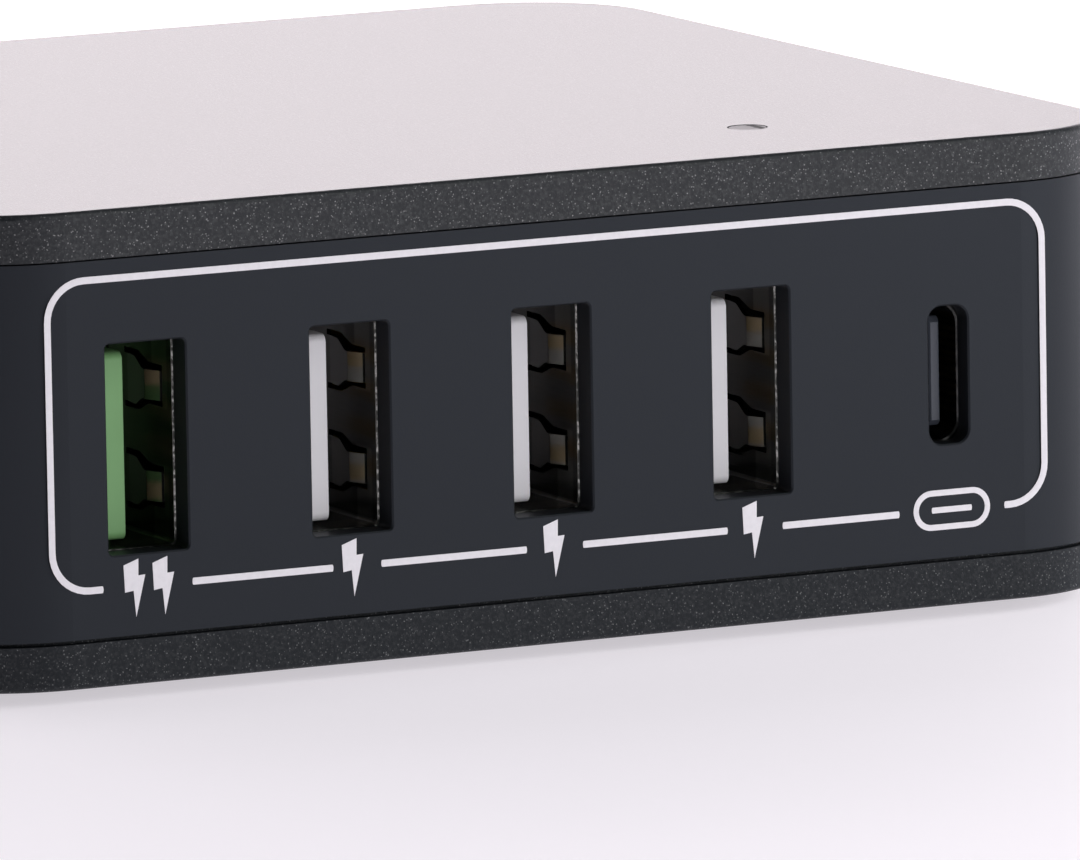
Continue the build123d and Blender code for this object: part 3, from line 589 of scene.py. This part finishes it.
# %% The recipe of its ends
end_squeeze = 0.3
end_film = 0.9
end_sides = 24
half_width = add_node(
    stroke_tree, "ShaderNodeMath", {"operation": "MULTIPLY"}, {0: stroke_in.outputs["Line Width"], 1: 0.5}
)
thinner = add_node(
    stroke_tree, "ShaderNodeMath", {"operation": "MULTIPLY"}, {0: stroke_in.outputs["Film"], 1: end_film}
)
disc = add_node(
    stroke_tree,
    "GeometryNodeMeshCylinder",
    {},
    {"Vertices": end_sides, "Radius": half_width.outputs["Value"], "Depth": thinner.outputs["Value"]},
)
tips = add_node(stroke_tree, "GeometryNodeCurveEndpointSelection", {}, {"Start Size": 1, "End Size": 1})
soft_ends = add_node(
    stroke_tree,
    "GeometryNodeInstanceOnPoints",
    {},
    {
        "Points": rounded.outputs["Curve"],
        "Selection": tips.outputs["Selection"],
        "Instance": disc.outputs["Mesh"],
        "Scale": (end_squeeze, 1, 1),
    },
)
joined = add_node(stroke_tree, "GeometryNodeJoinGeometry")
for part in (swept.outputs["Mesh"], soft_ends.outputs["Instances"]):
    stroke_tree.links.new(part, joined.inputs["Geometry"])
solid_ends = add_node(
    stroke_tree, "GeometryNodeRealizeInstances", {}, {"Geometry": joined.outputs["Geometry"]}
)
flat_sided = add_node(
    stroke_tree,
    "GeometryNodeSetShadeSmooth",
    {},
    {"Geometry": solid_ends.outputs["Geometry"], "Shade Smooth": False},
)
stood_up = add_node(
    stroke_tree,
    "GeometryNodeTransform",
    {},
    {
        "Geometry": flat_sided.outputs["Geometry"],
        "Translation": stroke_in.outputs["Face"],
        "Rotation": (math.pi / 2, 0, 0),
    },
)
finish_tree(stroke_tree, stood_up.outputs["Geometry"], stroke_in.outputs["Material"], stroke_out)

# %% [markdown]
# ## The line round the ports
#
# One white line runs round the ports and stops beside each sign under them. The gaps are given as the room,
# in millimetres, before and after the middle of each port, and like most print they are a little uneven.
# The pad also set the whole line down a hair to the right, so the print has a small shift of its own.

# %% Draw the line round the ports
line_width = 0.42 * mm
line_corner = 2.4 * mm
film = 0.04 * mm
print_shift = 0.07 * mm
ink_face = Vector((print_shift, front_face, 0))
line_side = 33.33 * mm
line_top = port_level + 10.27 * mm
line_bottom = port_level - 8.29 * mm
sign_gaps = [(3.2, 2.77), (1.5, 1.81), (2.03, 1.86), (1.93, 1.93), (3.66, 3.68)]


def strokes_curve(name, strokes):
    """A curve of straight strokes, each a list of (x, z) points and whether it closes."""
    curve = bpy.data.curves.new(name, "CURVE")
    curve.dimensions = "3D"
    for points, closes in strokes:
        spline = curve.splines.new("POLY")
        spline.points.add(len(points) - 1)
        spline.use_cyclic_u = closes
        for point, (x, z) in zip(spline.points, points):
            point.co = (x, z, 0, 1)
    return curve


ends = [
    (middle.x - before * mm, middle.x + after * mm)
    for middle, (before, after) in zip(port_middles, sign_gaps)
]
round_the_ports = [
    (ends[0][0], line_bottom),
    (-line_side, line_bottom),
    (-line_side, line_top),
    (line_side, line_top),
    (line_side, line_bottom),
    (ends[-1][1], line_bottom),
]
between_signs = [[(left[1], line_bottom), (right[0], line_bottom)] for left, right in zip(ends, ends[1:])]
line_strokes = [(round_the_ports, False)] + [(stroke, False) for stroke in between_signs]
printed_line = grow(
    "printed_line",
    strokes_curve("printed_line_path", line_strokes),
    stroke_tree,
    {"Corner Radius": line_corner, "Line Width": line_width, "Film": film, "Face": ink_face, "Material": ink},
)
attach(printed_line, "root")

# %% [markdown]
# ## The sign under the reversible port
#
# A plain pictogram says what plugs in there: the outline of the port with its tongue inside. It could be a
# mesh of its own, but it is the same ink and the same pen, so it uses the recipe of the line, with a closed
# stroke whose corner radius is half its height.

# %% Draw the port pictogram
pictogram_half_width = 2.45 * mm
pictogram_half_height = 1.05 * mm
pictogram_tongue_half = 1.323 * mm
pictogram_line = 0.36 * mm
pictogram_level = line_bottom + 0.05 * mm
pictogram_middle = port_middles[-1].x
pill = [
    (pictogram_middle + across * pictogram_half_width, pictogram_level + up * pictogram_half_height)
    for across, up in ((-1, -1), (1, -1), (1, 1), (-1, 1))
]
tongue = [(pictogram_middle + across * pictogram_tongue_half, pictogram_level) for across in (-1, 1)]
port_sign = grow(
    "port_sign",
    strokes_curve("port_sign_path", [(pill, True), (tongue, False)]),
    stroke_tree,
    {
        "Corner Radius": pictogram_half_height,
        "Line Width": pictogram_line,
        "Film": film,
        "Face": ink_face,
        "Material": ink,
    },
)
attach(port_sign, "root")

# %% [markdown]
# ## A row of copies
#
# Each of the other ports has a small printed bolt, the plain sign for power. The bolts are alike and stand
# in a row, so a second recipe sets copies of one mesh along a line. A loop in Python would do it too, but
# the recipe keeps the count and the step as inputs that can be changed in Blender.

# %% The recipe of a row
row_tree, row_in, row_out = tree_with(
    "row_of_copies",
    {
        "Count": "NodeSocketInt",
        "First": "NodeSocketVector",
        "Step": "NodeSocketVector",
        "Material": "NodeSocketMaterial",
    },
)
places = add_node(
    row_tree,
    "GeometryNodeMeshLine",
    {"mode": "OFFSET", "count_mode": "TOTAL"},
    {
        "Count": row_in.outputs["Count"],
        "Start Location": row_in.outputs["First"],
        "Offset": row_in.outputs["Step"],
    },
)
copies = add_node(
    row_tree,
    "GeometryNodeInstanceOnPoints",
    {},
    {"Points": places.outputs["Mesh"], "Instance": row_in.outputs["Geometry"]},
)
finish_tree(row_tree, copies.outputs["Instances"], row_in.outputs["Material"], row_out)

# %% [markdown]
# ## The bolts under the other ports
#
# One bolt is a polygon with the thickness of the ink, given by its corners in millimetres about its own
# middle. A letter of a symbol font could give it too, but then its shape would hang on the font that is
# installed. The first port, which charges fastest, has two.

# %% Print the bolts
bolt_outline = [
    (0.2, 1.75),
    (-0.78, 1.41),
    (-0.71, -0.23),
    (-0.15, -0.15),
    (0.0, -1.74),
    (0.63, 0.77),
    (0.18, 0.74),
]


def closed_mesh(name, shape):
    """A mesh from a closed shape under construction, with its faces turned outwards."""
    bmesh.ops.recalc_face_normals(shape, faces=shape.faces[:])
    mesh = bpy.data.meshes.new(name)
    shape.to_mesh(mesh)
    shape.free()
    return mesh


def bolt_mesh():
    """One bolt about its own middle, with the ink's thickness in front of the face."""
    shape = bmesh.new()
    corners = [shape.verts.new((x * mm, 0, z * mm)) for x, z in bolt_outline]
    face = shape.faces.new(corners)
    grown = bmesh.ops.extrude_face_region(shape, geom=[face])
    moved = [item for item in grown["geom"] if isinstance(item, bmesh.types.BMVert)]
    bmesh.ops.translate(shape, verts=moved, vec=(0, -film / 2, 0))
    return closed_mesh("bolt", shape)


bolt_level = line_bottom - 0.08 * mm
pair_step = 1.9 * mm
port_pitch = port_middles[1].x - port_middles[0].x
bolt_rows = {
    "bolt_pair": (2, port_middles[0].x - pair_step / 2, pair_step),
    "bolts": (3, port_middles[1].x, port_pitch),
}
for name, (count, first, step) in bolt_rows.items():
    piece = grow(
        name,
        bolt_mesh(),
        row_tree,
        {"Count": count, "First": (first, front_face, bolt_level), "Step": (step, 0, 0), "Material": ink},
    )
    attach(piece, "root")

# %% [markdown]
# ## Screws on a grid
#
# Four screws hold the covers together from below, each with a round head and a cross recess. The recipe
# cuts the cross out of one screw with two bars, only once, and then sets a copy at each point of a grid.
# Cutting each screw by itself would give the same shape four times over. The exact solver does the cutting,
# because the two bars overlap, and the quicker solver leaves such a cut open.

# %% The recipe of the screws
screw_tree, screw_in, screw_out = tree_with(
    "screws_on_a_grid",
    {
        "Spread X": "NodeSocketFloat",
        "Spread Y": "NodeSocketFloat",
        "Middle": "NodeSocketVector",
        "Cross Size": "NodeSocketVector",
        "Cross Size Turned": "NodeSocketVector",
        "Material": "NodeSocketMaterial",
    },
)
cut = add_node(
    screw_tree,
    "GeometryNodeMeshBoolean",
    {"operation": "DIFFERENCE", "solver": "EXACT"},
    {"Mesh 1": screw_in.outputs["Geometry"]},
)
for size in ("Cross Size", "Cross Size Turned"):
    bar = add_node(screw_tree, "GeometryNodeMeshCube", {}, {"Size": screw_in.outputs[size]})
    screw_tree.links.new(bar.outputs["Mesh"], cut.inputs["Mesh 2"])
grid = add_node(
    screw_tree,
    "GeometryNodeMeshGrid",
    {},
    {
        "Size X": screw_in.outputs["Spread X"],
        "Size Y": screw_in.outputs["Spread Y"],
        "Vertices X": 2,
        "Vertices Y": 2,
    },
)
moved_grid = add_node(
    screw_tree,
    "GeometryNodeTransform",
    {},
    {"Geometry": grid.outputs["Mesh"], "Translation": screw_in.outputs["Middle"]},
)
screws = add_node(
    screw_tree,
    "GeometryNodeInstanceOnPoints",
    {},
    {"Points": moved_grid.outputs["Geometry"], "Instance": cut.outputs["Mesh"]},
)
finish_tree(screw_tree, screws.outputs["Instances"], screw_in.outputs["Material"], screw_out)

# %% [markdown]
# ## One turned screw
#
# A screw is a lathe shape, so half of its outline is turned round the axis by `bmesh.ops.spin`. A turned
# shape has a double seam where the turn closes, and its doubles are merged before its faces are turned
# outwards.

# %% Turn one screw
screw_low, screw_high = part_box("case_screws")
screw_height = screw_high.z - screw_low.z
head_radius = 2.2 * mm
head_height = 1.8 * mm
head_round = 0.5 * mm
round_step = 15
shank_radius = 1.2 * mm
shank_point = 1.5 * mm
turn_steps = 32
merge_distance = 0.001 * mm


def turned_screw():
    """One screw on the Z axis with its head at z = 0, from half of its outline."""
    rim = [
        (
            head_radius - head_round + head_round * math.sin(math.radians(angle)),
            head_round - head_round * math.cos(math.radians(angle)),
        )
        for angle in range(0, 91, round_step)
    ]
    outline = [(0, 0)] + rim + [
        (head_radius, head_height),
        (shank_radius, head_height),
        (shank_radius, screw_height - shank_point),
        (shank_radius / 2, screw_height),
        (0, screw_height),
    ]
    shape = bmesh.new()
    points = [shape.verts.new((radius, 0, height)) for radius, height in outline]
    edges = [shape.edges.new(pair) for pair in zip(points, points[1:])]
    bmesh.ops.spin(
        shape, geom=points + edges, axis=(0, 0, 1), cent=(0, 0, 0), steps=turn_steps, angle=math.tau
    )
    bmesh.ops.remove_doubles(shape, verts=shape.verts[:], dist=merge_distance)
    return closed_mesh("turned_screw", shape)


one_screw = turned_screw()
print("turned one screw,", round(screw_height / mm, 1), "mm long")

# %% [markdown]
# ## The case screws
#
# The spots come from the box of the solid screws, which these stand for: the grid is as wide as that box,
# less one head. Round parts shade smoothly and corners stay crisp, by an angle that tells the two apart.

# %% Set four screws
cross_reach = 2.5 * mm
cross_slot = 0.62 * mm
cross_depth = 1.0 * mm
crisp_angle = math.radians(30)


def shade_by_angle(piece):
    """Smooth shading that stays crisp along sharp edges."""
    piece.data.polygons.foreach_set("use_smooth", [True] * len(piece.data.polygons))
    piece.data.set_sharp_from_angle(angle=crisp_angle)


screw_middle = (screw_low + screw_high) / 2
case_screws = grow(
    "case_screws_dressed",
    one_screw,
    screw_tree,
    {
        "Spread X": screw_high.x - screw_low.x - 2 * head_radius,
        "Spread Y": screw_high.y - screw_low.y - 2 * head_radius,
        "Middle": (screw_middle.x, screw_middle.y, screw_low.z),
        "Cross Size": (cross_reach, cross_slot, 2 * cross_depth),
        "Cross Size Turned": (cross_slot, cross_reach, 2 * cross_depth),
        "Material": finishes["screw_steel"],
    },
)
shade_by_angle(case_screws)
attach(case_screws, "root")
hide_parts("case_screws")

# %% [markdown]
# ## A contact spring
#
# Each type-A tongue carries four gilt strips, and what a plug touches is a bow in each strip that gives
# way. A bow is a curve between two points, pulled out by a third and swept with the strip's flat section.
# Sixteen bent meshes would do as well, but one recipe that sets a copy on every point it is given keeps
# them alike.

# %% The recipe of the contact bows
bow_steps = 14
bow_tree, bow_in, bow_out = tree_with(
    "contact_bows",
    {
        "Crest": "NodeSocketVector",
        "Tail": "NodeSocketVector",
        "Width": "NodeSocketFloat",
        "Sheet": "NodeSocketFloat",
        "Material": "NodeSocketMaterial",
    },
)
bow_line = add_node(
    bow_tree,
    "GeometryNodeCurveQuadraticBezier",
    {},
    {
        "Resolution": bow_steps,
        "Start": (0, 0, 0),
        "Middle": bow_in.outputs["Crest"],
        "End": bow_in.outputs["Tail"],
    },
)
bow_upright = add_node(
    bow_tree, "GeometryNodeSetCurveNormal", {"mode": "Z_UP"}, {"Curve": bow_line.outputs["Curve"]}
)
strip = add_node(
    bow_tree,
    "GeometryNodeCurvePrimitiveQuadrilateral",
    {},
    {"Width": bow_in.outputs["Sheet"], "Height": bow_in.outputs["Width"]},
)
bow = add_node(
    bow_tree,
    "GeometryNodeCurveToMesh",
    {},
    {"Curve": bow_upright.outputs["Curve"], "Profile Curve": strip.outputs["Curve"], "Fill Caps": True},
)
bows = add_node(
    bow_tree,
    "GeometryNodeInstanceOnPoints",
    {},
    {"Points": bow_in.outputs["Geometry"], "Instance": bow.outputs["Mesh"]},
)
finish_tree(bow_tree, bows.outputs["Instances"], bow_in.outputs["Material"], bow_out)

# %% [markdown]
# ## The contact springs
#
# There are sixteen bows, one for each strip. Their points are worked out from the boxes of the solid
# strips, so every bow starts at the front of its strip, sunk into it a little so that no gap shows. The
# curve's middle point pulls the bow to half its height, so it stands twice as far out as the bow rises.

# %% Set a bow on every strip
strips_in_port = 4
strip_pitch = 2.3 * mm
strip_width = 1.0 * mm
bow_width = 0.9 * mm
bow_sheet = 0.2 * mm
bow_length = 4.6 * mm
bow_rise = 0.5 * mm
crest_behind_front = 1.84 * mm
sunk = 0.06 * mm
bow_starts = []
for node in sorted(name for name in frame["nodes"] if name.startswith("usb_a_contacts")):
    strips_low, strips_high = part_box(node)
    top_strip = strips_high.z - strip_width / 2
    bow_starts += [
        (strips_high.x - sunk, strips_low.y + sunk, top_strip - step * strip_pitch)
        for step in range(strips_in_port)
    ]
bow_points = bpy.data.meshes.new("bow_points")
bow_points.from_pydata(bow_starts, [], [])
contact_bows = grow(
    "contact_bows",
    bow_points,
    bow_tree,
    {
        "Crest": (2 * bow_rise, crest_behind_front, 0),
        "Tail": (0, bow_length, 0),
        "Width": bow_width,
        "Sheet": bow_sheet,
        "Material": contact_metal,
    },
)
shade_by_angle(contact_bows)
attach(contact_bows, "root")

# %% [markdown]
# ## The backdrop and the table
#
# The charger stands on a milky table that is lit from below, so that no hard shadow falls beside it, and
# far in front of a bright backdrop. The top is seen at a grazing angle, where even dark plastic mirrors
# what is behind it, so the backdrop's brightness is what makes the top look silver. A near backdrop would
# do that too, but then there would be no room to walk round the charger and look at its back.


# %% Finishes of the studio
def bright_backdrop():
    """A glowing wall, bright near the table and dark above."""
    finish = Finish("backdrop", {"Emission Strength": 5.05, "Roughness": 1.0})
    fade = finish.soft_step(finish.along("Z"), 0.76, 2.23)
    glow = finish.blend(fade, (1.0, 0.92, 0.953, 1), (0.06, 0.06, 0.065, 1))
    finish.feed(finish.shader.inputs["Emission Color"], glow)
    return finish.material


def milky_table():
    """A milky sheet lit from below, dimmer at the left and brightest behind the charger."""
    finish = Finish("table", {"Emission Strength": 0.555})
    to_the_right = finish.soft_step(finish.along("X"), -0.4, -0.06)
    behind = finish.soft_step(finish.along("Y"), 0.05, 0.3)
    front_glow = finish.blend(to_the_right, (0.5, 0.48, 0.51, 1), (1.0, 0.955, 1.015, 1))
    glow = finish.blend(behind, front_glow, (1.9, 1.85, 1.9, 1))
    finish.feed(finish.shader.inputs["Emission Color"], glow)
    mottle = finish.noise(1.5 * mm, detail=3.0)
    milky = finish.blend(mottle, (0.45, 0.435, 0.46, 1), (0.47, 0.455, 0.48, 1))
    return finish.dress(milky, 0.72 + mottle * 0.06, mottle, 0.01 * mm)


print("studio finishes can be mixed")

# %% [markdown]
# ## Two planes
#
# The table and the backdrop are plain planes, large enough that no edge of theirs shows in the picture.

# %% Table and backdrop
reach = 8.0
backdrop_y = 3.0
backdrop_height = 4.5


def stage_plane(name, corners, material):
    """A flat piece of the studio through its corners."""
    mesh = bpy.data.meshes.new(name)
    mesh.from_pydata(corners, [], [tuple(range(len(corners)))])
    mesh.materials.append(material)
    piece = bpy.data.objects.new(name, mesh)
    bpy.context.scene.collection.objects.link(piece)


near_left = (-reach, -reach, 0)
near_right = (reach, -reach, 0)
far_left = (-reach, backdrop_y, 0)
far_right = (reach, backdrop_y, 0)
high_left = (-reach, backdrop_y, backdrop_height)
high_right = (reach, backdrop_y, backdrop_height)
stage_plane("table", [near_left, near_right, far_right, far_left], milky_table())
stage_plane("backdrop", [far_left, far_right, high_right, high_left], bright_backdrop())
print("the studio stands")

# %% [markdown]
# ## The lights
#
# Every light is a square soft box. One overhead lights the whole charger, one at the right side rounds the
# corner, and two from the front right light the port side and look into the ports. A very small one gives
# the band its sheen. Two of them would show as hard patches in the satin band, so glossy surfaces don't
# mirror them. The left is left dark.


# %% Lights
def soft_box(name, place, aim, size, power, mirrored=True):
    """A square soft light at a place, turned to its aim, and whether glossy surfaces mirror it."""
    light = bpy.data.lights.new(name, "AREA")
    light.shape = "SQUARE"
    light.size = size
    light.energy = power
    lamp = bpy.data.objects.new(name, light)
    lamp.location = place
    lamp.visible_glossy = mirrored
    lamp.rotation_euler = (Vector(aim) - Vector(place)).to_track_quat("-Z", "Y").to_euler()
    bpy.context.scene.collection.objects.link(lamp)


soft_box("overhead", (0.35, -0.42, 0.8), (0, -0.05, 0), 0.8, 0.9)
soft_box("right_side", (0.42, -0.08, 0.1), (0.03, 0, 0.015), 0.22, 1.9, mirrored=False)
soft_box("front_fill", (0.55, -0.75, 0.55), (0, -0.03, 0.015), 0.5, 1.7)
soft_box("low_right", (0.30, -0.57, 0.12), (0.02, -0.03, 0.015), 0.3, 1.05, mirrored=False)
soft_box("sheen", (0.2, -0.26, 0.05), (0.03, -0.0385, 0.015), 0.08, 0.08)
world = bpy.data.worlds.new("studio_air")
world.use_nodes = True
world.node_tree.nodes["Background"].inputs["Color"].default_value = (0.96, 0.97, 1.0, 1)
world.node_tree.nodes["Background"].inputs["Strength"].default_value = 0.05
bpy.context.scene.world = world
bpy.context.scene.view_settings.view_transform = "Standard"
print("the lights are on")

# %% [markdown]
# ## The camera
#
# The picture is a long-lens view from the front left, a little above the table, with the camera rolled by a
# degree. A camera looks along its own -Z with +Y up, so its three axes are the columns of its rotation.
# They are worked out from three angles, because an aim alone would leave the roll open.

# %% Camera
view_turn = math.radians(26.45)
view_rise = math.radians(8.46)
view_roll = math.radians(-1.0)
view_distance = 1.0158
view_aim = Vector((0.15 * mm, front_face + 2.07 * mm, 13.55 * mm))
sensor_width = 36
focal_length = 563.2

backwards = Vector(
    (
        -math.sin(view_turn) * math.cos(view_rise),
        -math.cos(view_turn) * math.cos(view_rise),
        math.sin(view_rise),
    )
)
level_right = Vector((math.cos(view_turn), -math.sin(view_turn), 0))
level_up = backwards.cross(level_right)
right = math.cos(view_roll) * level_right + math.sin(view_roll) * level_up
up = math.cos(view_roll) * level_up - math.sin(view_roll) * level_right
lens = bpy.data.cameras.new("camera")
lens.sensor_fit = "HORIZONTAL"
lens.sensor_width = sensor_width
lens.lens = focal_length
camera = bpy.data.objects.new("camera", lens)
pose = Matrix((right, up, backwards)).transposed().to_4x4()
pose.translation = view_aim + backwards * view_distance
camera.matrix_world = pose
bpy.context.scene.collection.objects.link(camera)
bpy.context.scene.camera = camera
print("the camera stands at", [round(value, 4) for value in camera.matrix_world.translation])
